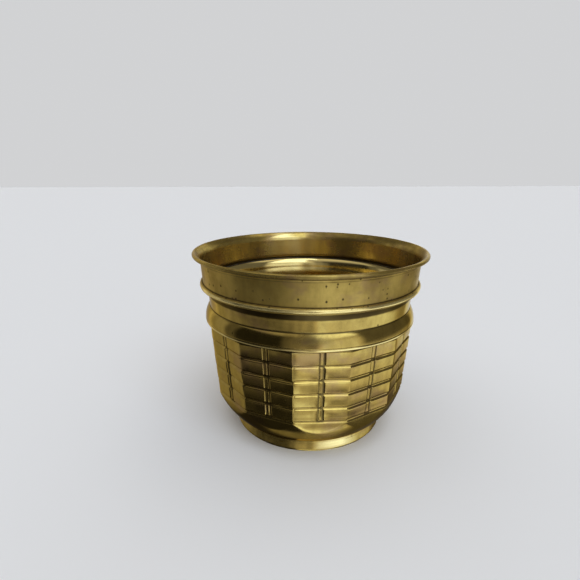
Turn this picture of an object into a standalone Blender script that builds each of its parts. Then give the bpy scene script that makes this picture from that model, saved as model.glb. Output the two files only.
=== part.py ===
"""Brass planter pot: faceted bowl, collar with a rolled rim, and a foot ring.

Metres, +Z up. The origin is the centre of the foot's underside, and the middle
of one facet faces -Y. Every piece is turned about Z; the bowl's facets come
from a turned profile of few steps, cut by a round one.
"""

import math

import bmesh
import bpy
from mathutils import Matrix, Vector

# ---------------------------------------------------------------- dimensions
RIM_RADIUS = 0.1016            # outermost edge of the rolled rim
HEIGHT = 0.1584                # floor to the top of the roll
SHEET = 0.0007                 # sheet brass
GAP = 0.0003                   # between pieces that touch
FACETS = 13
ROUND_STEPS = 4 * FACETS
CLEARANCE = 0.005              # by which cutting solids reach past the body

# rim roll, its wire and the collar
ROLL_RADIUS = 0.0017
ROLL_CENTRE = (RIM_RADIUS - ROLL_RADIUS, HEIGHT - ROLL_RADIUS)
ROLL_START = math.radians(-150)
ROLL_END = math.radians(120)
WIRE_RADIUS = ROLL_RADIUS - SHEET - GAP
COLLAR_TOP_RADIUS = 0.0949     # outer side of the collar below the rim
COLLAR_LOW_RADIUS = 0.0937     # outer side of the collar above the bead
BEAD_RADIUS = 0.0024
BEAD_CENTRE = (0.0938, 0.1309)
BEAD_START = math.radians(80)
FLANGE_RADIUS = 0.0920         # inner edge of the fold under the bead

# neck, shoulder and ring
LIP_RADIUS = 0.0935
LIP_LOW = BEAD_CENTRE[1] - BEAD_RADIUS + SHEET + GAP
COVE_ARC = 0.0138              # radius of the hollow curve under the lip
NECK_RADIUS = 0.0893           # where the neck runs out into the cove
NECK_TOP = 0.1215
CREASE_HEIGHT = 0.1128         # narrowest place, between neck and shoulder
SHOULDER_ARC = 0.0171          # radius of the full curve of the shoulder
RING_RADIUS = 0.0926
RING_TOP = 0.1018
RING_LOW = 0.0998
FACET_TOP = 0.0992

# bowl: radii are those of the corners between the facets
FACET_TOP_RADIUS = 0.0914
BELLY_RADIUS = 0.0868
BELLY_HEIGHT = 0.0425
BOWL_ARC = 0.0510              # radius of the curve below the belly
ROUND_RADIUS = 0.0898          # round envelope that trims the facets below
ROUND_HEIGHT = 0.0577
ROUND_ARC = 0.0643
FLOOR = 0.0100
FLOOR_RADIUS = 0.0666
TURN_IN = 0.0120               # the bowl's curve turns in to the floor here

# brick pattern
ROW_GROOVES = 5
ROW_PITCH = 0.0121
ROW_LOWEST = 0.0383
GROOVE_WIDTH = 0.0030
GROOVE_DEPTH = 0.0008
RIB_WIDTH = 0.0022             # raised strip between the two upright grooves
SLOT_WIDTH = 0.0016

# foot
FOOT_RADIUS = 0.0677
FOOT_TOP_RADIUS = 0.0670
FOOT_EDGE_RADIUS = 0.0636      # inner edge of the turned-in underside
FOOT_FLANGE_RADIUS = 0.0610
FOOT_STEP = 0.0022             # straight side below the top of the foot
FOOT_EDGE = 0.0012             # straight side above the floor
SOLDER_FILLET = 0.0020
SOLDER_WIDTH = 0.0008          # of the solder in the fold under the bead


# ------------------------------------------------------------------- helpers
def clear_scene():
    for obj in list(bpy.data.objects):
        bpy.data.objects.remove(obj)


def new_collection(name):
    collection = bpy.data.collections.new(name)
    bpy.context.scene.collection.children.link(collection)
    return collection


def metal(name, colour, roughness):
    material = bpy.data.materials.new(name)
    material.use_nodes = True
    shader = material.node_tree.nodes["Principled BSDF"]
    shader.inputs["Base Color"].default_value = (*colour, 1.0)
    shader.inputs["Metallic"].default_value = 1.0
    shader.inputs["Roughness"].default_value = roughness
    return material


def arc(centre, radius, start, end, count):
    """Points on a circle in the profile plane, from start to end."""
    points = []
    for i in range(count + 1):
        angle = start + (end - start) * i / count
        points.append((centre[0] + radius * math.cos(angle),
                       centre[1] + radius * math.sin(angle)))
    return points


def turned(name, profile, steps, collection, closed=False):
    """Turn (radius, height) points, top to bottom on the outer side, about Z."""
    count = len(profile)
    edges = [(i, i + 1) for i in range(count - 1)]
    if closed:
        edges.append((count - 1, 0))
    mesh = bpy.data.meshes.new(name)
    mesh.from_pydata([(r, 0.0, z) for r, z in profile], edges, [])
    obj = bpy.data.objects.new(name, mesh)
    collection.objects.link(obj)
    screw = obj.modifiers.new("turn", "SCREW")
    screw.steps = steps
    screw.render_steps = steps
    screw.use_merge_vertices = True
    screw.merge_threshold = 0.00001
    screw.use_smooth_shade = steps > FACETS
    return obj


def cut(obj, cutter, operation="DIFFERENCE"):
    boolean = obj.modifiers.new(cutter.name, "BOOLEAN")
    boolean.operation = operation
    boolean.solver = "EXACT"
    boolean.object = cutter


def hide_cutter(obj):
    obj.hide_render = True
    obj.display_type = "WIRE"


# ---------------------------------------------------------------------- bowl
def facet_corner_radius(z):
    """Corner radius of the faceted bowl at a height."""
    if z >= BELLY_HEIGHT:
        slope = (FACET_TOP_RADIUS - BELLY_RADIUS) / (FACET_TOP - BELLY_HEIGHT)
        return BELLY_RADIUS + slope * (z - BELLY_HEIGHT)
    drop = BELLY_HEIGHT - z
    return BELLY_RADIUS - BOWL_ARC + math.sqrt(BOWL_ARC ** 2 - drop ** 2)


def round_radius(z):
    """Radius of the round envelope below the facets."""
    drop = ROUND_HEIGHT - z
    return ROUND_RADIUS - ROUND_ARC + math.sqrt(ROUND_ARC ** 2 - drop ** 2)


def cove_radius(z):
    """Radius of the hollow curve between the neck and the lip."""
    rise = z - NECK_TOP
    return NECK_RADIUS + COVE_ARC - math.sqrt(COVE_ARC ** 2 - rise ** 2)


def shoulder_radius(z):
    """Radius of the full curve between the crease and the ring."""
    rise = z - RING_TOP
    return RING_RADIUS - SHOULDER_ARC + math.sqrt(SHOULDER_ARC ** 2 - rise ** 2)


def groove_heights():
    """Middles of the level grooves, top to bottom."""
    return [ROW_LOWEST + ROW_PITCH * i for i in reversed(range(ROW_GROOVES))]


def facet_solid(name, inset, grooved, top, bottom, collection):
    """Solid whose sides are the facets, wider than the body above them."""
    ledge = FACET_TOP if grooved else FACET_TOP + SHEET
    profile = [(0.0, top), (RIM_RADIUS, top), (RIM_RADIUS, ledge)]

    def side(z, depth=0.0):
        profile.append((facet_corner_radius(z) - inset - depth, z))

    profile.append((facet_corner_radius(FACET_TOP) - inset, ledge))
    if grooved:
        for z in groove_heights():
            side(z + GROOVE_WIDTH / 2)
            side(z + GROOVE_WIDTH / 4, GROOVE_DEPTH)
            side(z - GROOVE_WIDTH / 4, GROOVE_DEPTH)
            side(z - GROOVE_WIDTH / 2)
    else:
        for z in groove_heights():
            side(z)
    lowest = min(groove_heights()) - GROOVE_WIDTH / 2
    count = 6
    for i in range(1, count + 1):
        side(lowest + (bottom - lowest) * i / count)
    profile.append((0.0, bottom))
    solid = turned(name, profile, FACETS, collection)
    solid.rotation_euler.z = -math.pi / 2 + math.pi / FACETS
    return solid


def round_solid(name, inset, top_points, floor, collection):
    """Round body: cove, neck, shoulder, ring, round envelope and floor."""
    ring = RING_RADIUS - inset
    profile = list(top_points)
    count = 4
    for i in range(1, count + 1):
        z = LIP_LOW + (NECK_TOP - LIP_LOW) * i / count
        profile.append((cove_radius(z) - inset, z))
    for i in range(count + 1):
        z = CREASE_HEIGHT + (RING_TOP - CREASE_HEIGHT) * i / count
        profile.append((shoulder_radius(z) - inset, z))
    profile.append((ring, RING_LOW))
    profile.append((ring - GAP, RING_LOW - 2 * GAP))
    profile.append((ROUND_RADIUS - inset, ROUND_HEIGHT))
    count = 8
    for i in range(1, count + 1):
        z = ROUND_HEIGHT + (TURN_IN - ROUND_HEIGHT) * i / count
        profile.append((round_radius(z) - inset, z))
    turn_in = round_radius(TURN_IN) - FLOOR_RADIUS
    profile.append((FLOOR_RADIUS + 0.3 * turn_in - inset, (TURN_IN + floor) / 2))
    profile.append((FLOOR_RADIUS - inset, floor))
    profile.append((0.0, floor))
    return turned(name, profile, ROUND_STEPS, collection)


def upright_slots(collection):
    """Cutter for the two upright grooves in the middle of every facet."""
    low = ROW_LOWEST
    count = 10
    outline = [(RIM_RADIUS, FACET_TOP), (RIM_RADIUS, low)]
    apothem = math.cos(math.pi / FACETS)
    for i in range(count + 1):
        z = low + (FACET_TOP - low) * i / count
        outline.append((facet_corner_radius(z) * apothem - GROOVE_DEPTH, z))

    curve = bpy.data.curves.new("slot_outline", "CURVE")
    curve.dimensions = "2D"
    curve.fill_mode = "BOTH"
    curve.extrude = SLOT_WIDTH / 2
    spline = curve.splines.new("POLY")
    spline.points.add(len(outline) - 1)
    for point, (r, z) in zip(spline.points, outline):
        point.co = (r, z, 0.0, 1.0)
    spline.use_cyclic_u = True
    flat = bpy.data.objects.new("slot_outline", curve)
    collection.objects.link(flat)
    plate = bpy.data.meshes.new_from_object(flat.evaluated_get(
        bpy.context.evaluated_depsgraph_get()))
    bpy.data.objects.remove(flat)

    slots = bmesh.new()
    upright = Matrix.Rotation(math.pi / 2, 4, "X")
    offset = (RIB_WIDTH + SLOT_WIDTH) / 2
    for facet in range(FACETS):
        turn = Matrix.Rotation(-math.pi / 2 + 2 * math.pi * facet / FACETS, 4, "Z")
        for side in (-offset, offset):
            first = len(slots.verts)
            slots.from_mesh(plate)
            slots.verts.ensure_lookup_table()
            place = turn @ Matrix.Translation(Vector((0.0, side, 0.0))) @ upright
            bmesh.ops.transform(slots, matrix=place, verts=slots.verts[first:])
    bmesh.ops.remove_doubles(slots, verts=slots.verts, dist=0.000001)
    bmesh.ops.recalc_face_normals(slots, faces=slots.faces)
    mesh = bpy.data.meshes.new("upright_slots")
    slots.to_mesh(mesh)
    slots.free()
    obj = bpy.data.objects.new("upright_slots", mesh)
    collection.objects.link(obj)
    return obj


def body_shell(collection, cutters):
    lip_top = LIP_LOW + SHEET
    above = lip_top + CLEARANCE
    below = FLOOR - CLEARANCE
    lip_root = cove_radius(LIP_LOW)
    outer_top = [(0.0, lip_top), (LIP_RADIUS, lip_top), (LIP_RADIUS, LIP_LOW), (lip_root, LIP_LOW)]
    body = round_solid("body_shell", 0.0, outer_top, FLOOR, collection)
    facets = facet_solid("bowl_facets", 0.0, True, above, below, cutters)

    inner_top = [(0.0, above), (lip_root - SHEET, above), (lip_root - SHEET, LIP_LOW)]
    cavity = round_solid("bowl_cavity", SHEET, inner_top, FLOOR + SHEET, cutters)
    wall = SHEET + GROOVE_DEPTH
    cavity_facets = facet_solid("cavity_facets", wall, False, above + CLEARANCE, below, cutters)
    cut(cavity, cavity_facets, "INTERSECT")
    slots = upright_slots(cutters)

    cut(body, facets, "INTERSECT")
    cut(body, slots)
    cut(body, cavity)
    for obj in (facets, cavity, cavity_facets, slots):
        hide_cutter(obj)
    return body


# -------------------------------------------------------------------- collar
def collar_band(collection):
    """Sheet from the end of the rim roll down to the fold under the bead."""
    path = arc(ROLL_CENTRE, ROLL_RADIUS - SHEET, ROLL_START, ROLL_END, 8)

    # flare below the roll: an arc that ends tangent to the collar's wall
    lean = math.pi - ROLL_END
    roll_exit = path[-1]
    flare = (roll_exit[0] - COLLAR_TOP_RADIUS) / (1 - math.cos(lean))
    centre = (COLLAR_TOP_RADIUS + flare, roll_exit[1] - flare * math.sin(lean))
    path += arc(centre, flare, math.pi - lean, math.pi, 5)[1:]

    # wall, bead and the flange folded in under the body's lip
    bead = arc(BEAD_CENTRE, BEAD_RADIUS, BEAD_START, -math.pi / 2, 7)
    path.append((COLLAR_LOW_RADIUS, bead[0][1] + SHEET))
    path += bead
    path.append((FLANGE_RADIUS, bead[-1][1]))

    collar = turned("collar_band", path, ROUND_STEPS, collection)
    wall = collar.modifiers.new("sheet", "SOLIDIFY")
    wall.thickness = SHEET
    wall.offset = -1.0
    wall.use_even_offset = True
    return collar


def rim_wire(collection):
    section = arc(ROLL_CENTRE, WIRE_RADIUS, math.pi / 2, -3 * math.pi / 2, 8)[:-1]
    return turned("rim_wire", section, ROUND_STEPS, collection, closed=True)


def seam_solder(collection):
    """Solder in the fold, outside the body's lip."""
    low = LIP_LOW + GAP / 2
    inner = LIP_RADIUS + GAP
    outer = inner + SOLDER_WIDTH
    section = [(inner, low + SHEET), (outer, low + SHEET), (outer, low), (inner, low)]
    return turned("seam_solder", section, ROUND_STEPS, collection, closed=True)


# ---------------------------------------------------------------------- foot
def foot_ring(collection):
    top = FLOOR - GAP
    section = [(FOOT_TOP_RADIUS, top),
               (FOOT_TOP_RADIUS, top - FOOT_STEP),
               (FOOT_RADIUS, FOOT_EDGE),
               (FOOT_RADIUS, 0.0),
               (FOOT_EDGE_RADIUS, 0.0),
               (FOOT_EDGE_RADIUS, SHEET),
               (FOOT_RADIUS - SHEET, SHEET),
               (FOOT_TOP_RADIUS - SHEET, top - SHEET),
               (FOOT_FLANGE_RADIUS, top - SHEET),
               (FOOT_FLANGE_RADIUS, top)]
    return turned("foot_ring", section, ROUND_STEPS, collection, closed=True)


def foot_solder(collection):
    top = FLOOR - GAP
    outer = FOOT_FLANGE_RADIUS - GAP
    section = [(outer, top), (outer, top - SHEET), (outer - SOLDER_FILLET, top)]
    return turned("foot_solder", section, ROUND_STEPS, collection, closed=True)


# ------------------------------------------------------------------ assembly
def build():
    clear_scene()
    pot = new_collection("brass_planter_pot")
    cutters = new_collection("cutters")

    brass = metal("aged_brass", (0.50, 0.37, 0.14), 0.26)
    steel = metal("steel_wire", (0.45, 0.44, 0.42), 0.40)
    solder = metal("soft_solder", (0.55, 0.55, 0.54), 0.45)

    pieces = [
        (body_shell(pot, cutters), brass),
        (collar_band(pot), brass),
        (foot_ring(pot), brass),
        (rim_wire(pot), steel),
        (seam_solder(pot), solder),
        (foot_solder(pot), solder),
    ]
    for piece, material in pieces:
        piece.data.materials.append(material)


build()
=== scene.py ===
"""Looks of the brass planter pot: fine sheet-metal meshes, aged brass, studio."""

import math

import bpy
import numpy as np
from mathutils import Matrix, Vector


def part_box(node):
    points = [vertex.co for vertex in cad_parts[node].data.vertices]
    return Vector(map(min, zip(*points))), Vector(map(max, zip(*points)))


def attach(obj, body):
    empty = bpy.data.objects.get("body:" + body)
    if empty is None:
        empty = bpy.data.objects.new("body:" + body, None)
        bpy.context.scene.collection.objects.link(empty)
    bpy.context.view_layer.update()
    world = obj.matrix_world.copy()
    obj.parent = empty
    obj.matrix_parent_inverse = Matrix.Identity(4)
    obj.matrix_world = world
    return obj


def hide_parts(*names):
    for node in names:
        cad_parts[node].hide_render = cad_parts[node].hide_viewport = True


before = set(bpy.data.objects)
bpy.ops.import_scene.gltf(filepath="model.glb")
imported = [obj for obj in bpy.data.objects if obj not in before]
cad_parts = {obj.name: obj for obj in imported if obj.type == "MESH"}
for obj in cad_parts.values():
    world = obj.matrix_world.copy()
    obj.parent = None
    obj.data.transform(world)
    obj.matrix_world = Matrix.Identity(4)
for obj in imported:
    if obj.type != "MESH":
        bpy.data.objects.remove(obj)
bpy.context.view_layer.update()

# ------------------------------------------------------- places from the frame
COLLAR_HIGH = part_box("collar_band")[1]
BODY_LOW, BODY_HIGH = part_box("body_shell")
FOOT_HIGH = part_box("foot_ring")[1]
RIM_RADIUS = COLLAR_HIGH.x
HEIGHT = COLLAR_HIGH.z
LIP_TOP = BODY_HIGH.z
FLOOR = BODY_LOW.z
FOOT_RADIUS = FOOT_HIGH.x

# --------------------------------------- dimensions, in metres, and angles from -Y
SHEET = 0.0007                         # thickness
FACETS = 13
FACET_ANGLE = 2 * math.pi / FACETS
APOTHEM = math.cos(FACET_ANGLE / 2)    # of a polygon with corner radius 1
AROUND = np.linspace(-math.pi, math.pi, 385)[:-1]  # columns of the turned sheets

# the collar: rolled rim, wall, bead, the fold under it and the flange on the bowl's lip
ROLL_RADIUS = 0.0017
ROLL_CENTRE = (RIM_RADIUS - ROLL_RADIUS, HEIGHT - ROLL_RADIUS)
ROLL_START = math.radians(-150)
ROLL_END = math.radians(120)
COLLAR_TOP_RADIUS = 0.0949
COLLAR_LOW_RADIUS = 0.0937
BEAD_RADIUS = 0.0024
BEAD_CENTRE = (0.0938, 0.1309)
BEAD_START = math.radians(75)
BEAD_TOP = BEAD_CENTRE[1] + BEAD_RADIUS * math.sin(BEAD_START)
FLANGE_RADIUS = 0.0920
FOLD_CENTRE = (0.0944, 0.12885)        # thin edge of the fold, under the bead
FOLD_ROUND = 0.00035
FOLD_CREASE = FOLD_CENTRE[1] + 0.0007
ROLL_CREASE = HEIGHT - 0.0044          # painted shadow line under the roll
RIM_LINE = HEIGHT - 0.0068             # painted shade line below it, at a faint crease
FLARE_MIDDLE = HEIGHT - 0.0024         # of the inside's bend under the rim
COLLAR_UNEVEN = 0.00003                # of the hand-worked sheet

# the bowl's top: lip, cove, neck, crease, shoulder and thin ring
LIP_RADIUS = 0.0935
LIP_LOW = LIP_TOP - SHEET
COVE_ARC = 0.0138
NECK_RADIUS = 0.0893
NECK_TOP = 0.1215
CREASE_HEIGHT = 0.1128
SHOULDER_ARC = 0.0171
RING_RADIUS = 0.0926
RING_TOP = 0.1018
RING_MIDDLE = 0.1009
RING_HALF = 0.0011                     # half height of the thin ring
FACET_TOP = 0.0992

# the bowl below the ring: facets, cut in scallops by a round underside, and the floor
FACET_TOP_RADIUS = 0.0914
BELLY_RADIUS = 0.0868
BELLY_HEIGHT = 0.0425
BOWL_ARC = 0.0510
ROUND_RADIUS = 0.0898
ROUND_HEIGHT = 0.0577
ROUND_ARC = 0.0643
FLOOR_RADIUS = 0.0666
TURN_IN = 0.0120                       # height where the underside turns in to the floor
BOWL_UNEVEN = 0.00007                  # of the hand-worked sheet

# the bricks pressed in the facets
ROW_GROOVES = 5
ROW_PITCH = 0.0121
ROW_LOWEST = 0.0383
GROOVE_HALF = 0.0016
GROOVE_DEPTH = 0.0009
RIB_HALF = 0.0011                      # raised strip in the upright groove
RIB_SHIFT = 0.0004                     # of the strip to the left of the groove's middle
UPRIGHT_HALF = 0.0029                  # half width of the whole upright groove
BRICK_CROWN = 0.00018                  # bulge of each pressed brick
CORNER_SOFT = 0.0004                   # rounding of facet corners and scallops

# the foot
FOOT_INSET = 0.0007                    # of its upper part from its widest part
FOOT_TOP_HOLE = 0.0610                 # radius of the opening at the top
FOOT_LOW_HOLE = 0.0636                 # radius of the opening at the bottom

# patches of painted shade and painted highlights, each as its middle angle and its width
SHOULDER_PAINTED_SHADE = (-0.08, 0.20)
SHOULDER_PAINTED_SHADE_HEIGHT = 0.1085
RIM_PAINTED_HIGHLIGHT = (0.12, 0.45)
FLARE_PAINTED_HIGHLIGHT = (-2.94, 0.20)
WALL_PAINTED_HIGHLIGHT = (-3.06, 0.32)
WALL_PAINTED_SHADE = ((2.61, 0.17, 1.0), (1.70, 0.36, 0.8), (-1.72, 0.22, 0.8))  # with strength
FOOT_PAINTED_HIGHLIGHT = (0.27, 0.36)


# ------------------------------------------------------------------ mesh helpers
def grid_mesh(name, points, tarnish_shade_and_shine, inner_rows, wrap_rows=False, capped=False):
    """Mesh from points[row, column]; columns go round the pot and close.

    Rows close too if wrap_rows; capped closes the first and the last row with a fan.
    The third argument, [row, column], is stored with the points: 1 where tarnish and painted shade
    darken the brass, -1 where wear and painted highlights brighten it. inner is stored too: 1 on
    the inner_rows, a mask of the rows that face into the pot, and 0 on the others.
    """
    rows, columns = points.shape[:2]
    vertices = points.reshape(-1, 3)
    index = np.arange(rows * columns).reshape(rows, columns)
    upper = index if wrap_rows else index[:-1]
    lower = np.roll(index, -1, axis=0) if wrap_rows else index[1:]
    quads = np.stack([upper, lower, np.roll(lower, -1, axis=1), np.roll(upper, -1, axis=1)],
                     axis=-1)
    faces = quads.reshape(-1, 4).tolist()
    vertices = vertices.tolist()
    if capped:
        for ring in (index[0], index[-1][::-1]):
            centre = len(vertices)
            vertices.append([0.0, 0.0, vertices[ring[0]][2]])
            faces += [[int(a), int(b), centre] for a, b in zip(ring, np.roll(ring, -1))]
    mesh = bpy.data.meshes.new(name)
    mesh.from_pydata(vertices, [], faces)
    mesh.shade_smooth()
    inner = np.repeat(np.asarray(inner_rows, float), columns)
    for kind, values in (("tarnish_shade_and_shine", tarnish_shade_and_shine.reshape(-1)), ("inner", inner)):
        stored = np.zeros(len(vertices), np.float32)
        stored[:values.size] = values
        mesh.attributes.new(kind, "FLOAT", "POINT").data.foreach_set("value", stored)
    mesh.update()
    obj = bpy.data.objects.new(name, mesh)
    bpy.context.scene.collection.objects.link(obj)
    return obj


def arc(centre, radius, start, end, count):
    """Points of a 2-D arc, in count steps."""
    angles = np.linspace(start, end, count + 1)
    return np.array(centre) + radius * np.stack([np.cos(angles), np.sin(angles)], axis=1)


def resample(path, spacing):
    """Points at about equal steps along a 2-D path."""
    path = np.asarray(path, float)
    steps = np.hypot(*np.diff(path, axis=0).T)
    along = np.concatenate([[0.0], np.cumsum(steps)])
    count = max(int(round(along[-1] / spacing)), 2)
    at = np.linspace(0.0, along[-1], count + 1)
    return np.stack([np.interp(at, along, path[:, 0]), np.interp(at, along, path[:, 1])], axis=1)


def path_normals(path):
    """Unit normals of a 2-D path, to the left of its direction."""
    tangent = np.gradient(path, axis=0)
    tangent /= np.linalg.norm(tangent, axis=1)[:, None]
    return np.stack([-tangent[:, 1], tangent[:, 0]], axis=1)


def thicken(path, thickness, outer=None):
    """Closed section of a sheet with rounded edges, whose outer side is path or outer."""
    path = np.asarray(path, float)
    normals = path_normals(path)
    inner = path - normals * thickness
    half = thickness / 2

    def edge(at, forward):
        middle = path[at] - normals[at] * half
        ahead = np.array([normals[at][1], -normals[at][0]]) * (1 if forward else -1)
        angles = np.linspace(0, math.pi, 6)[1:-1]
        side = normals[at] if forward else -normals[at]
        return [middle + half * (math.cos(a) * side + math.sin(a) * ahead) for a in angles]

    outer = path if outer is None else outer
    return np.concatenate([outer, edge(-1, True), inner[::-1], edge(0, False)])


def near(x, middle, width):
    """1 at the middle, falling to 0 about a width away."""
    return np.exp(-((x - middle) / width) ** 2)


def ripple(theta, z, amount, waves, seed):
    """Slow, repeatable unevenness of hand-worked sheet, in metres."""
    draw = np.random.default_rng(seed)
    total = np.zeros(np.broadcast(theta, z).shape)
    for _ in range(waves):
        turns = draw.integers(1, 9)
        height = draw.uniform(20, 160)
        phase, tilt = draw.uniform(0, 2 * math.pi, 2)
        total = total + np.sin(turns * theta + phase) * np.cos(height * z + tilt)
    return amount * total / math.sqrt(waves)


def smoothstep(low, high, x):
    """0 below low, 1 above high, with a smooth step between them."""
    t = np.clip((x - low) / (high - low), 0.0, 1.0)
    return t * t * (3 - 2 * t)


def soft_min(a, b, k):
    """Smaller of two lengths, with a fillet of about k where they meet."""
    h = np.clip(0.5 + 0.5 * (b - a) / k, 0.0, 1.0)
    return b * (1 - h) + a * h - k * h * (1 - h)


# --------------------------------------------------------------------- the bowl
def facet_corner_radius(z):
    """Radius at the facets' corners: straight above the belly, an arc below it."""
    slope = (FACET_TOP_RADIUS - BELLY_RADIUS) / (FACET_TOP - BELLY_HEIGHT)
    drop = np.clip(BELLY_HEIGHT - z, 0.0, BOWL_ARC * 0.99)
    arc_part = np.sqrt(BOWL_ARC ** 2 - drop ** 2) - BOWL_ARC
    return BELLY_RADIUS + slope * np.clip(z - BELLY_HEIGHT, 0.0, None) + arc_part


def round_radius(z):
    """Radius of the round form that cuts the facets' low ends into scallops."""
    drop = np.clip(ROUND_HEIGHT - z, 0.0, ROUND_ARC * 0.99)
    slope = (RING_RADIUS - ROUND_RADIUS) / (FACET_TOP - ROUND_HEIGHT)
    flare = slope * np.clip(z - ROUND_HEIGHT, 0.0, None)
    return ROUND_RADIUS + flare - ROUND_ARC + np.sqrt(ROUND_ARC ** 2 - drop ** 2)


def cove_radius(z):
    """Radius of the neck's upper end, which curves out to the lip."""
    rise = np.clip(z - NECK_TOP, 0.0, COVE_ARC)
    return NECK_RADIUS + COVE_ARC - np.sqrt(COVE_ARC ** 2 - rise ** 2)


def shoulder_radius(z):
    """Radius of the round shoulder between the crease and the thin ring."""
    rise = z - RING_TOP
    return RING_RADIUS - SHOULDER_ARC + np.sqrt(SHOULDER_ARC ** 2 - rise ** 2)


def brick_relief(across, z, facet):
    """Depth below the facet, by distance across it from its middle, and its tarnish with painted
    shade and highlights.
    """
    draw = np.random.default_rng(7)
    drift = draw.uniform(-0.00025, 0.00025, (FACETS, ROW_GROOVES))
    level = np.zeros(across.shape)
    dirt_shade_and_shine = np.zeros(across.shape)
    for row in range(ROW_GROOVES):
        up = (z - ROW_LOWEST - row * ROW_PITCH - drift[facet, row]) / GROOVE_HALF
        bevel = np.clip((up + 1.1) / 0.7, 0, 1)
        one = np.where(up < 0, bevel, 1 - smoothstep(0.30, 1.05, up))
        level = np.maximum(level, one)
        # tarnish in the groove, weighted to its upper half as painted shade under the upper wall
        dirt_shade_and_shine = np.maximum(dirt_shade_and_shine, 0.85 * one * smoothstep(-0.25, 0.50, up))
        # painted highlight, with some wear, on the groove's lower lip
        dirt_shade_and_shine -= 1.1 * near(up, -0.75, 0.50)
    low_end = ROW_LOWEST - 0.6 * GROOVE_HALF
    spread = 1 + 0.35 * (1 - smoothstep(low_end, low_end + 0.005, z))
    wall = 1 - smoothstep(0.66 * UPRIGHT_HALF, UPRIGHT_HALF, np.abs(across) / spread)
    rib = 1 - smoothstep(0.35 * RIB_HALF, 1.75 * RIB_HALF, np.abs(across + RIB_SHIFT) / spread)
    inside = smoothstep(low_end - 0.0006, low_end + 0.0006, z)
    upright = wall * inside * (1 - 0.8 * rib * (1 - level))
    # tarnish and painted shade in the upright groove, painted highlight with some wear on its rib
    dirt_shade_and_shine = np.maximum(dirt_shade_and_shine, 0.75 * upright) - 0.6 * rib ** 4 * inside * (1 - level)
    return GROOVE_DEPTH * np.maximum(level, 0.6 * upright), dirt_shade_and_shine


def brick_faces(across, z, facet):
    """Slight tilt and crown of each pressed brick."""
    draw = np.random.default_rng(11)
    side = (across > 0).astype(int)
    row = np.clip(((z - ROW_LOWEST) / ROW_PITCH).astype(int), 0, ROW_GROOVES - 1)
    tilt_up = draw.normal(0, 0.015, (FACETS, 2, ROW_GROOVES))[facet, side, row]
    tilt_across = draw.normal(0, 0.012, (FACETS, 2, ROW_GROOVES))[facet, side, row]
    up = z - (ROW_LOWEST + (row + 0.5) * ROW_PITCH)
    over = np.abs(across) - 0.011
    in_rows = smoothstep(ROW_LOWEST, ROW_LOWEST + 0.002, z)
    crown = BRICK_CROWN * (1 - (2 * up / ROW_PITCH) ** 2) * (1 - (over / 0.010) ** 4)
    return in_rows * (tilt_up * up + tilt_across * over + crown)


def bowl_radius(theta, z, relief):
    """Outer radius of the bowl below its ring, and its tarnish with painted shade and highlights.

    theta is the angle from -Y, and relief the share of the bricks' depth.
    """
    facet = np.round(theta / FACET_ANGLE).astype(int)
    local = theta - facet * FACET_ANGLE
    facet = facet % FACETS
    corner = facet_corner_radius(z)
    flat = corner * APOTHEM
    across = flat * np.tan(local)
    depth, dirt_shade_and_shine = brick_relief(across, z, facet)
    pressed = relief * (depth - brick_faces(across, z, facet))
    faceted = (flat - pressed) / np.cos(local)
    faceted = soft_min(faceted, corner - 0.00015 - pressed, CORNER_SOFT)
    rounded = round_radius(z)
    radius = soft_min(faceted, rounded, CORNER_SOFT)
    dirt_shade_and_shine = dirt_shade_and_shine * smoothstep(-0.0004, 0.0, rounded - faceted)
    # painted highlights, with some wear, along the scallops' edges and the facets' corners
    dirt_shade_and_shine -= 0.9 * near(rounded, faceted, 0.0003) + 0.3 * near(np.abs(local), FACET_ANGLE / 2, 0.006)
    return radius, dirt_shade_and_shine


def facet_columns():
    """Angles round the pot, closest together at ribs and facet corners."""
    half = FACET_ANGLE / 2
    rib_end = math.atan(1.6 * UPRIGHT_HALF / (BELLY_RADIUS * APOTHEM))
    corner_start = half * 0.93
    rib = np.linspace(0, rib_end, 13)
    plain = np.linspace(rib_end, corner_start, 12)[1:]
    corner = np.linspace(corner_start, half, 5)[1:]
    side = np.concatenate([rib, plain, corner])
    one = np.concatenate([-side[::-1], side[1:]])[1:]
    return np.concatenate([one + facet * FACET_ANGLE for facet in range(FACETS)])


def bowl_rows():
    """Heights down the bowl, closest together at the grooves."""
    heights = [FACET_TOP - 0.0003]
    reach = 1.3 * GROOVE_HALF
    for row in reversed(range(ROW_GROOVES)):
        middle = ROW_LOWEST + row * ROW_PITCH
        heights += list(np.linspace(heights[-1], middle + reach, 8)[1:])
        heights += list(np.linspace(middle + reach, middle - reach, 17)[1:])
    heights += list(np.linspace(heights[-1], TURN_IN, 38)[1:])
    return np.array(heights)


def bowl_shade_and_dirt(theta, z, dirt_shade_and_shine, outside):
    """The bricks' tarnish and painted light, with painted shade in the creases, under the collar
    and on the shoulder's front, and a painted highlight on the ring.
    """
    # painted shade in the crease, along the ring's top and under the ring
    dirt_shade_and_shine = np.maximum(dirt_shade_and_shine, 0.9 * near(z, CREASE_HEIGHT, 0.0006))
    dirt_shade_and_shine = np.maximum(dirt_shade_and_shine, 0.7 * near(z, RING_MIDDLE + RING_HALF + 0.0002, 0.0003))
    dirt_shade_and_shine = np.maximum(dirt_shade_and_shine, near(z, FACET_TOP, 0.0006))
    if outside:
        # painted shade on the cove under the collar's fold
        dirt_shade_and_shine = np.maximum(dirt_shade_and_shine, 0.95 * smoothstep(NECK_TOP - 0.0003, NECK_TOP + 0.0022, z))
        # painted shade on the shoulder's front
        painted_shade = near(z, SHOULDER_PAINTED_SHADE_HEIGHT, 0.0050) * near(theta, *SHOULDER_PAINTED_SHADE)
        dirt_shade_and_shine = np.maximum(dirt_shade_and_shine, 0.65 * painted_shade)
    # painted highlight, with some wear, on the thin ring's ridge
    return dirt_shade_and_shine - near(z, RING_MIDDLE + 0.0001, 0.0007)


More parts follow.
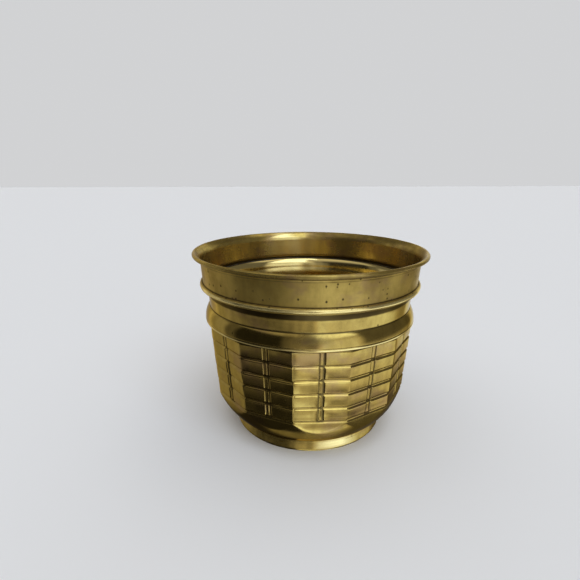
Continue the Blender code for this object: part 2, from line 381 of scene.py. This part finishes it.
def bowl_surface(theta, offset, relief, top_path):
    """Rings of points from the lip down and in over the floor, and their tarnish with painted shade
    and highlights.

    offset is the distance inwards from the outer side, 0 for the outer side itself.
    """
    around = np.ones(theta.shape)
    rings = [(r * around, z, 0 * around) for r, z in top_path]
    for z in bowl_rows():
        r, dirt_shade_and_shine = bowl_radius(theta, z * around, relief)
        rings.append((r - offset, z, dirt_shade_and_shine))
    floor = FLOOR + (SHEET if offset else 0.0)
    edge = FLOOR_RADIUS - offset
    start = round_radius(np.array(TURN_IN)) - offset
    for share in (0.25, 0.5, 0.75, 0.92, 1.0):
        r = edge + (start - edge) * (1 - share) ** 2
        rings.append((r * around, TURN_IN + (floor - TURN_IN) * share, 0 * around))
    for r in (edge - 0.0006, 0.045, 0.02):
        rings.append((r * around, floor, 0 * around))
    r = np.array([ring[0] for ring in rings])
    z = np.array([ring[1] * around for ring in rings])
    dirt_shade_and_shine = bowl_shade_and_dirt(theta, z, np.array([ring[2] for ring in rings]), outside=not offset)
    uneven = ripple(theta[None, :], z, BOWL_UNEVEN, waves=14, seed=3)
    fade = smoothstep(FLOOR, FLOOR + 0.02, z)
    fade *= 1 - smoothstep(LIP_TOP - 0.006, LIP_TOP - 0.002, z)
    return to_space(theta, r + uneven * fade, z), dirt_shade_and_shine


def shoulder_path(offset):
    """Cove, neck, crease, shoulder and ring, from just below the lip down to the facets."""
    path = [(cove_radius(z), z) for z in np.linspace(LIP_LOW - 0.0010, NECK_TOP, 12)]
    crease = shoulder_radius(CREASE_HEIGHT)
    for share in np.linspace(0, 1, 8)[1:-1]:
        path.append((NECK_RADIUS + (crease - NECK_RADIUS) * share,
                     NECK_TOP + (CREASE_HEIGHT - NECK_TOP) * share))
    path += [(crease + 0.00005, CREASE_HEIGHT + 0.0005), (crease - 0.00005, CREASE_HEIGHT + 0.0001),
             (crease + 0.00015, CREASE_HEIGHT - 0.0003)]
    shoulder_low = RING_MIDDLE + RING_HALF + 0.0004
    path += [(shoulder_radius(z), z) for z in np.linspace(CREASE_HEIGHT - 0.0008, shoulder_low, 22)]
    path.append((RING_RADIUS - 0.00025, shoulder_low - 0.0003))
    for share in np.linspace(-1, 1, 12):
        path.append((RING_RADIUS + 0.0001 - 0.00035 * share ** 4, RING_MIDDLE - share * RING_HALF))
    path.append((RING_RADIUS - 0.0009, FACET_TOP + 0.0002))
    thicker = 0.0012 if offset else 0.0
    return [(r - offset - thicker * near(z, CREASE_HEIGHT + 0.0037, 0.0045), z) for r, z in path]


def to_space(theta, r, z):
    """Points in space, with theta measured from -Y towards +X."""
    return np.stack([r * np.sin(theta), -r * np.cos(theta), z], axis=-1)


def bowl():
    """Pressed bowl with its floor and its turned-out lip."""
    theta = facet_columns()
    root = cove_radius(np.array(LIP_LOW))
    lip_outer = [(LIP_RADIUS - 0.0002, LIP_TOP), (LIP_RADIUS, LIP_TOP - 0.0002),
                 (LIP_RADIUS, LIP_LOW + 0.0002), (LIP_RADIUS - 0.0002, LIP_LOW),
                 (root + 0.0004, LIP_LOW), (root + 0.0001, LIP_LOW - 0.0003)]
    lip_inner = [(root + 0.0006, LIP_TOP), (root + 0.0001, LIP_TOP - 0.0002),
                 (root - 0.0004, LIP_LOW - 0.0001)]
    outer, outer_shade_and_shine = bowl_surface(theta, offset=0.0, relief=1.0,
                                     top_path=lip_outer + shoulder_path(0.0))
    inner, inner_shade_and_shine = bowl_surface(theta, offset=SHEET, relief=0.5,
                                     top_path=lip_inner + shoulder_path(SHEET))
    points = np.concatenate([inner[::-1], outer])
    # inside: weaker painted shade and highlights, and a painted highlight in the neck's cove
    inner_shade_and_shine = 0.4 * inner_shade_and_shine - 0.7 * smoothstep(CREASE_HEIGHT, NECK_TOP, inner[:, :, 2])
    dirt_shade_and_shine = np.concatenate([inner_shade_and_shine[::-1], outer_shade_and_shine])
    inner_rows = np.arange(len(points)) < len(inner)
    piece = grid_mesh("bowl_sheet", points, dirt_shade_and_shine, inner_rows, capped=True)
    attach(piece, "root")
    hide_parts("body_shell")
    return piece


# ----------------------------------------------------------- the collar, the foot
def turned_sheet(name, section, dirt_shade_and_shine, inner_rows, amount, seed):
    """Sheet turned about Z from a closed section, slightly uneven except at the rim."""
    r, z = section[:, :1], section[:, 1:]
    fade = 1 - smoothstep(HEIGHT - 0.006, HEIGHT - 0.002, z)
    r = r + fade * ripple(AROUND[None, :], z, amount, waves=10, seed=seed)
    return grid_mesh(name, to_space(AROUND, r, z + 0 * r), dirt_shade_and_shine, inner_rows, wrap_rows=True)


def patch(middle, width):
    """Mask round a turned sheet: 1 at the middle angle, falling to 0 about a width away."""
    away = (AROUND - middle + math.pi) % (2 * math.pi) - math.pi
    return near(away, 0.0, width)


def wall_painted_light():
    """Painted shade (+) and painted highlights (-) round the collar's inside."""
    tarnished = sum(strength * patch(middle, width) for middle, width, strength in WALL_PAINTED_SHADE)
    return tarnished - patch(*WALL_PAINTED_HIGHLIGHT)


def collar_section():
    """Closed section of the collar, and the mask of its rows that face into the pot."""
    roll = arc(ROLL_CENTRE, ROLL_RADIUS - SHEET, ROLL_START, ROLL_END, 28)
    leave_radius, leave_height = roll[-1]
    lean = math.pi - ROLL_END
    bend = (leave_radius - COLLAR_TOP_RADIUS) / (1 - math.cos(lean))
    cove = arc((COLLAR_TOP_RADIUS + bend, leave_height - bend * math.sin(lean)),
               bend, math.pi - lean, math.pi, 14)
    bead = arc(BEAD_CENTRE, BEAD_RADIUS, BEAD_START, -math.pi / 2, 22)
    wall = resample([cove[-1], (COLLAR_LOW_RADIUS, BEAD_TOP + 0.0012)], 0.0015)
    fillet = [(COLLAR_LOW_RADIUS + 0.00005, BEAD_TOP + 0.0006),
              (COLLAR_LOW_RADIUS + 0.00025, BEAD_TOP + 0.0002)]
    flange = resample([bead[-1], (FLANGE_RADIUS, bead[-1][1])], 0.0008)
    upper = np.concatenate([roll, cove[1:], wall[1:], fillet])
    path = np.concatenate([upper, bead, flange[1:]])
    # the outer side leaves the bead for the thin edge of the fold
    fold = arc(FOLD_CENTRE, FOLD_ROUND, math.radians(60), -math.pi / 2, 8)
    folded = np.concatenate([upper, bead[:16], [(FOLD_CENTRE[0] - 0.0001, FOLD_CREASE)],
                             fold, flange[1:]])
    section = thicken(path, SHEET, folded)
    return section, np.arange(len(section)) >= len(folded)


def collar_shade_and_dirt(z, inner_rows):
    """Painted shade in the collar's creases, under the roll and inside; painted highlights, with
    some wear, on the bead, the rim's front and the inside.
    """
    # painted shade in the creases above and under the bead
    outer = near(z, BEAD_TOP + 0.0003, 0.0005) + near(z, FOLD_CREASE, 0.0004)
    # painted shadow under the roll and painted shade at a faint crease below it
    outer += near(z, ROLL_CREASE, 0.0008) + 0.7 * near(z, RIM_LINE, 0.0004)
    # bead brightened: polished by wear and a painted highlight
    outer -= near(z, BEAD_CENTRE[1] + 0.0002, 0.0015)
    # roll darkened by painted shade except for a painted highlight at the front
    on_roll = near(z, ROLL_CENTRE[1], 0.0022)
    outer = outer[:, None] + np.outer(on_roll, 0.5 - 0.9 * patch(*RIM_PAINTED_HIGHLIGHT))
    on_wall = smoothstep(BEAD_CENTRE[1], BEAD_CENTRE[1] + 0.003, z)
    on_wall *= 1 - smoothstep(HEIGHT - 0.006, HEIGHT - 0.003, z)
    on_flare = near(z, FLARE_MIDDLE, 0.0030)
    # painted shadow under the bead, inside
    inner = near(z, BEAD_CENTRE[1], 0.0028)[:, None]
    # painted shade on the inside's bend under the rim, with a painted highlight at the back
    inner = inner + np.outer(on_flare, 0.5 - 1.3 * patch(*FLARE_PAINTED_HIGHLIGHT))
    # painted shade and painted highlights on the inside wall
    inner += 0.5 * np.outer(on_wall, wall_painted_light())
    return np.where(inner_rows[:, None], inner, outer)


def collar():
    """Band with a rolled rim, whose low edge is folded round the bowl's lip."""
    section, inner_rows = collar_section()
    dirt_shade_and_shine = collar_shade_and_dirt(section[:, 1], inner_rows)
    piece = turned_sheet("collar_sheet", section, dirt_shade_and_shine, inner_rows, COLLAR_UNEVEN, seed=5)
    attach(piece, "root")
    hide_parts("collar_band")
    return piece


def foot():
    """Low ring under the floor, with its low edge turned in."""
    top = FOOT_HIGH.z
    upper = FOOT_RADIUS - FOOT_INSET
    path = [(FOOT_TOP_HOLE, top), (upper - 0.0009, top), (upper - 0.0003, top - 0.0002),
            (upper, top - 0.0008), (upper, top - 0.0020), (upper + 0.0002, top - 0.0032),
            (FOOT_RADIUS - 0.0001, 0.0030), (FOOT_RADIUS, 0.0016),
            (FOOT_RADIUS - 0.0001, 0.0006), (FOOT_RADIUS - 0.0005, 0.0001),
            (FOOT_RADIUS - 0.0011, 0.0), (FOOT_LOW_HOLE, 0.0)]
    section = thicken(resample(path, 0.0004), SHEET)
    # painted shade: the foot darkened, most under the bowl's floor, except for a painted highlight
    # at the front
    dirt_shade_and_shine = 0.45 + near(section[:, 1:], top, 0.0006) - 1.3 * patch(*FOOT_PAINTED_HIGHLIGHT)[None, :]
    inner_rows = np.zeros(len(section))
    piece = turned_sheet("foot_sheet", section, dirt_shade_and_shine, inner_rows, amount=0.0, seed=1)
    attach(piece, "root")
    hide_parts("foot_ring")
    return piece


# ------------------------------------------------------------------ node helpers
class Nodes:
    """A node tree, built by short calls."""

    def __init__(self, tree):
        self.tree = tree

    def node(self, kind, **settings):
        made = self.tree.nodes.new(kind)
        for key, value in settings.items():
            setattr(made, key, value)
        return made

    def link(self, source, target):
        self.tree.links.new(source, target)

    def fill(self, socket, value):
        """Link a socket to another one, or set it to a number or a colour."""
        if isinstance(value, (int, float)):
            socket.default_value = value
        elif isinstance(value, tuple):
            socket.default_value = (*value, 1.0)
        else:
            self.link(value, socket)

    def math(self, operation, *values):
        made = self.node("ShaderNodeMath", operation=operation)
        for socket, value in zip(made.inputs, values):
            self.fill(socket, value)
        return made.outputs["Value"]

    def range(self, value, low, high, to_low=0.0, to_high=1.0):
        """Smooth step from to_low to to_high as value goes from low to high."""
        made = self.node("ShaderNodeMapRange", interpolation_type="SMOOTHSTEP")
        self.fill(made.inputs["Value"], value)
        made.inputs["From Min"].default_value = low
        made.inputs["From Max"].default_value = high
        made.inputs["To Min"].default_value = to_low
        made.inputs["To Max"].default_value = to_high
        return made.outputs["Result"]

    def mix(self, share, a, b):
        made = self.node("ShaderNodeMix", data_type="RGBA")
        for name, value in (("Factor", share), ("A", a), ("B", b)):
            self.fill([s for s in made.inputs if s.name == name and s.enabled][0], value)
        return [s for s in made.outputs if s.enabled][0]


class Shader(Nodes):
    """A material whose patterns are placed by object coordinates."""

    def __init__(self, name):
        self.material = bpy.data.materials.new(name)
        self.material.use_nodes = True
        super().__init__(self.material.node_tree)
        self.surface = self.tree.nodes["Principled BSDF"]
        self.place = self.node("ShaderNodeTexCoord").outputs["Object"]

    def scaled(self, stretch):
        """Object coordinates, times a factor for each axis."""
        made = self.node("ShaderNodeMapping")
        made.inputs["Scale"].default_value = stretch
        self.link(self.place, made.inputs["Vector"])
        return made.outputs["Vector"]

    def noise(self, stretch, detail, rough):
        """Noise with about stretch features per metre along each axis."""
        made = self.node("ShaderNodeTexNoise")
        made.inputs["Scale"].default_value = 1.0
        made.inputs["Detail"].default_value = detail
        made.inputs["Roughness"].default_value = rough
        self.link(self.scaled(stretch), made.inputs["Vector"])
        return made.outputs["Fac"]

    def spots(self, stretch, size, share):
        """Mask of scattered spots: Voronoi cells, of which a share is used."""
        made = self.node("ShaderNodeTexVoronoi")
        made.inputs["Scale"].default_value = 1.0
        self.link(self.scaled(stretch), made.inputs["Vector"])
        spot = self.range(made.outputs["Distance"], size, size * 0.45)
        split = self.node("ShaderNodeSeparateColor")
        self.link(made.outputs["Color"], split.inputs["Color"])
        used = self.range(split.outputs["Red"], share, share - 0.02)
        return self.math("MULTIPLY", spot, used)

    def bump(self, height, distance, below=None):
        """Normal of a height pattern, on top of another bump's normal if there is one."""
        made = self.node("ShaderNodeBump")
        made.inputs["Distance"].default_value = distance
        self.link(height, made.inputs["Height"])
        if below is not None:
            self.link(below, made.inputs["Normal"])
        return made.outputs["Normal"]


# -------------------------------------------------------------------- materials
CLEAN_BRASS = (0.65, 0.455, 0.115)
DULL_BRASS = (0.45, 0.305, 0.075)
PINK_BRASS = (0.44, 0.275, 0.115)
# paler brass, for wear and for painted highlights
WORN_AND_HIGHLIT_BRASS = (0.97, 0.76, 0.30)
# dark brown, for tarnish, pits and painted shade
TARNISH_AND_SHADE = (0.075, 0.050, 0.022)
EDGE_BRASS = (0.70, 0.60, 0.43)        # of reflections at a glancing angle
TURNING = 0.8                          # stretch of highlights across the turning lines
WIRE_GREY = (0.45, 0.44, 0.42)
SOLDER_GREY = (0.55, 0.55, 0.54)


def aged_brass(name, roughness, inner_roughness, metallic, pits):
    """Handled brass: cloudy patina, pinkish patches, fine turning lines, pits, tarnish with painted
    shade, wear with painted highlights.

    inner_roughness is for the sides that face into the pot, and pits the share of spots.
    """
    s = Shader(name)
    clouds = s.noise((48, 48, 36), 7.0, 0.66)
    patches = s.noise((30, 30, 44), 4.0, 0.6)
    streaks = s.noise((9, 9, 900), 3.0, 0.6)
    waves = s.noise((50, 50, 40), 1.0, 0.4)
    runs = s.noise((170, 170, 12), 4.0, 0.6)
    tarnish_shade_and_shine = s.node("ShaderNodeAttribute", attribute_name="tarnish_shade_and_shine").outputs["Fac"]
    inner = s.node("ShaderNodeAttribute", attribute_name="inner").outputs["Fac"]
    # share darkened by tarnish and by painted shade
    shade_and_dirt_share = s.range(s.math("ADD", tarnish_shade_and_shine, s.math("MULTIPLY", clouds, 0.3)), 0.30, 1.05, 0.0, 0.88)
    colour = s.mix(s.range(clouds, 0.35, 0.72), CLEAN_BRASS, DULL_BRASS)
    colour = s.mix(s.math("MULTIPLY", s.range(runs, 0.45, 0.75), 0.6), colour, DULL_BRASS)
    colour = s.mix(s.math("MULTIPLY", s.range(patches, 0.50, 0.68), 0.7), colour, PINK_BRASS)
    marks = s.math("MAXIMUM", s.spots((260, 260, 220), 0.28, pits),
                   s.spots((190, 190, 80), 0.17, pits * 0.35))
    marks = s.math("MULTIPLY", marks, s.range(inner, 0.0, 1.0, 1.0, 0.3))
    # pits, tarnish and painted shade darken the colour
    colour = s.mix(s.math("MAXIMUM", s.math("MULTIPLY", marks, 0.85), shade_and_dirt_share), colour, TARNISH_AND_SHADE)
    # share brightened by wear and by painted highlights, in the paler brass
    shine_and_wear_share = s.range(tarnish_shade_and_shine, -0.1, -0.9)
    colour = s.mix(shine_and_wear_share, colour, WORN_AND_HIGHLIT_BRASS)
    s.link(colour, s.surface.inputs["Base Color"])
    s.surface.inputs["Metallic"].default_value = metallic
    s.surface.inputs["Specular Tint"].default_value = (*EDGE_BRASS, 1.0)
    s.surface.inputs["Anisotropic"].default_value = TURNING
    s.surface.inputs["Anisotropic Rotation"].default_value = 0.25
    s.link(s.node("ShaderNodeTangent", direction_type="RADIAL", axis="Z").outputs["Tangent"],
           s.surface.inputs["Tangent"])
    rough = s.math("ADD", s.range(clouds, 0.3, 0.75, -0.05, 0.10),
                   s.range(streaks, 0.3, 0.7, -0.02, 0.03))
    rough = s.math("ADD", rough, s.range(inner, 0.0, 1.0, roughness, inner_roughness))
    rough = s.math("ADD", rough, s.math("MULTIPLY", s.math("MAXIMUM", marks, shade_and_dirt_share), 0.3))
    worn = s.math("MULTIPLY", rough, s.math("SUBTRACT", 1.0, shine_and_wear_share))
    s.link(s.math("MULTIPLY_ADD", shine_and_wear_share, 0.10, worn), s.surface.inputs["Roughness"])
    wavy = s.bump(waves, 0.00030)
    s.link(s.bump(s.math("SUBTRACT", s.math("MULTIPLY", streaks, 0.1), marks), 0.00005, wavy),
           s.surface.inputs["Normal"])
    return s.material


def dull_metal(name, colour, roughness):
    """Grey metal with darker clouds, for the hidden wire and the solder."""
    s = Shader(name)
    clouds = s.noise((120, 120, 120), 4.0, 0.6)
    dark = tuple(0.6 * c for c in colour)
    s.link(s.mix(s.range(clouds, 0.35, 0.7), colour, dark), s.surface.inputs["Base Color"])
    s.surface.inputs["Metallic"].default_value = 1.0
    rough = s.range(clouds, 0.3, 0.7, roughness - 0.08, roughness + 0.1)
    s.link(rough, s.surface.inputs["Roughness"])
    return s.material


def paint(obj, material):
    obj.data.materials.clear()
    obj.data.materials.append(material)


# ----------------------------------------------------------------- camera, light
VIEW_TURN = math.radians(-3.9)         # the view is slightly across a facet
CAMERA_BACK = 3.585 * RIM_RADIUS
CAMERA_LEFT = 0.17 * RIM_RADIUS
CAMERA_UP = 2.20 * RIM_RADIUS
CAMERA_PITCH = math.radians(15.9)      # downwards
LENS = 25.94                           # millimetres, on a sensor SENSOR wide
SENSOR = 36.0


def camera():
    """View from a little above the rim, looking slightly down."""
    data = bpy.data.cameras.new("camera")
    data.lens = LENS
    data.sensor_width = SENSOR
    data.clip_start = 0.01
    obj = bpy.data.objects.new("camera", data)
    bpy.context.scene.collection.objects.link(obj)
    c, s = math.cos(VIEW_TURN), math.sin(VIEW_TURN)
    x, y = -CAMERA_LEFT, -CAMERA_BACK
    obj.location = (c * x - s * y, s * x + c * y, CAMERA_UP)
    obj.rotation_euler = (math.pi / 2 - CAMERA_PITCH, 0.0, VIEW_TURN)
    bpy.context.scene.camera = obj


ROOM = 0.12                            # brightness of the plain parts of the room
DARKEST = 0.02                         # no direction of it is dimmer than this
# azimuth (0 towards -Y, + towards +X), half width, soft edge, lowest and highest
# elevation, soft edge of those, all in degrees, and the brightness added to the room's
PANELS = (
    ("window", 27, 15, 14, -24, 24, 10, 0.80),
    ("window_side", 0, 10, 8, -36, 40, 14, 0.13),
    ("window_edge", -20, 9, 7, -30, 30, 10, 0.13),
    ("window_top", 20, 25, 10, 24, 50, 12, 0.30),
    ("window_high", 24, 22, 8, 32, 67, 8, 1.40),
    ("upper_left", -60, 40, 20, 38, 80, 8, 0.30),
    ("ceiling_lamp", 14, 32, 12, 67, 90, 6, 1.50),
    ("ceiling_right", 100, 50, 20, 56, 90, 12, 0.50),
    ("ceiling", 0, 180, 1, 62, 90, 16, 0.14),
    ("right_back", 150, 16, 12, -26, 25, 10, 0.85),
    ("right_wall", 95, 40, 20, -28, -10, 8, 0.24),
    ("left_back", -156, 20, 10, -32, 28, 10, 0.44),
    ("left_wall", -121, 15, 7, -40, 25, 14, 0.22),
    ("dark_side", -56, 28, 8, -90, 50, 14, -0.10),
    ("table_left", -52, 42, 14, -32, -20, 5, 0.17),
    ("table_far", 55, 47, 14, -38, -20, 6, 0.72),
    ("table_front", 12, 22, 14, -62, -43, 6, 0.36),
    ("table_gleam", -8, 15, 3, -64, -40, 3, 0.75),
    ("mirror_front", 10, 14, 12, -80, -60, 8, 1.30),
    ("mirror_right", 66, 30, 14, -82, -65, 8, 0.90),
    ("mirror_back", 180, 60, 20, -90, -66, 8, 0.20),
    ("dark_left_low", -125, 45, 20, -90, -42, 10, -0.09),
)
DIM_LIGHT = (1.0, 1.0, 1.0)            # colour of the room's dim parts
BRIGHT_LIGHT = (0.86, 1.0, 1.22)       # colour of its bright parts
BACKDROP = (0.640, 0.645, 0.655)       # plain colour behind the pot
FLOOR_SHADE = (0.875, 0.855, 0.83)
FLOOR_SIZE = 12.0
SKY_ENERGY = 1.12
SKY_ANGLE = math.radians(120)


def panel_mask(n, azimuth, elevation, panel):
    """1 inside a soft-edged panel of the surrounding room, 0 outside it."""
    _, middle, half, soft, low, high, rise, _ = panel
    away = n.math("WRAP", n.math("SUBTRACT", azimuth, float(middle)), -180.0, 180.0)
    across = n.range(n.math("ABSOLUTE", away), half + soft, half)
    above = n.range(elevation, low - rise / 2, low + rise / 2) if low > -90 else 1.0
    below = n.range(elevation, high + rise / 2, high - rise / 2) if high < 90 else 1.0
    return n.math("MULTIPLY", across, n.math("MULTIPLY", above, below))


def room_light():
    """World: a room with a big soft window ahead to the right and a dark side to the left."""
    world = bpy.data.worlds.new("room")
    bpy.context.scene.world = world
    world.use_nodes = True
    n = Nodes(world.node_tree)
    split = n.node("ShaderNodeSeparateXYZ")
    n.link(n.node("ShaderNodeTexCoord").outputs["Generated"], split.inputs["Vector"])
    x, y, z = split.outputs
    azimuth = n.math("DEGREES", n.math("ARCTAN2", x, n.math("MULTIPLY", y, -1.0)))
    elevation = n.math("DEGREES", n.math("ARCSINE", z))
    light = ROOM
    for panel in PANELS:
        mask = panel_mask(n, azimuth, elevation, panel)
        light = n.math("ADD", light, n.math("MULTIPLY", mask, panel[-1]))
    light = n.math("MAXIMUM", light, DARKEST)
    scaled = n.node("ShaderNodeVectorMath", operation="SCALE")
    tint = n.mix(n.range(light, 0.60, 1.15), DIM_LIGHT, BRIGHT_LIGHT)
    n.link(tint, scaled.inputs["Vector"])
    n.link(light, scaled.inputs["Scale"])
    seen = n.node("ShaderNodeLightPath").outputs["Is Camera Ray"]
    background = world.node_tree.nodes["Background"]
    n.link(n.mix(seen, scaled.outputs["Vector"], BACKDROP), background.inputs["Color"])


def soft_sky():
    """Very soft light from above for matt surfaces only, so the brass shows the room."""
    data = bpy.data.lights.new("soft_sky", "SUN")
    data.angle = SKY_ANGLE
    data.energy = SKY_ENERGY
    obj = bpy.data.objects.new("soft_sky", data)
    obj.visible_glossy = False
    bpy.context.scene.collection.objects.link(obj)


def studio():
    """Plain pale floor that the brass does not mirror, with the room's light and the sky."""
    bpy.ops.mesh.primitive_plane_add(size=FLOOR_SIZE, location=(0, 0, 0))
    floor = bpy.context.object
    floor.name = "floor"
    s = Shader("pale_floor")
    s.surface.inputs["Base Color"].default_value = (*FLOOR_SHADE, 1.0)
    s.surface.inputs["Roughness"].default_value = 0.9
    s.surface.inputs["Specular IOR Level"].default_value = 0.0
    paint(floor, s.material)
    floor.visible_glossy = False
    floor.visible_shadow = False
    room_light()
    soft_sky()
    bpy.context.scene.view_settings.view_transform = "Standard"


def main():
    camera()
    studio()
    paint(bowl(), aged_brass("bowl_brass", roughness=0.12, inner_roughness=0.27,
                             metallic=1.0, pits=0.02))
    paint(collar(), aged_brass("collar_brass", roughness=0.44, inner_roughness=0.20,
                               metallic=0.88, pits=0.34))
    paint(foot(), aged_brass("foot_brass", roughness=0.13, inner_roughness=0.13,
                             metallic=1.0, pits=0.02))
    paint(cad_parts["rim_wire"], dull_metal("wire", WIRE_GREY, 0.4))
    solder = dull_metal("solder", SOLDER_GREY, 0.5)
    paint(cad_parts["seam_solder"], solder)
    paint(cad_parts["foot_solder"], solder)


main()
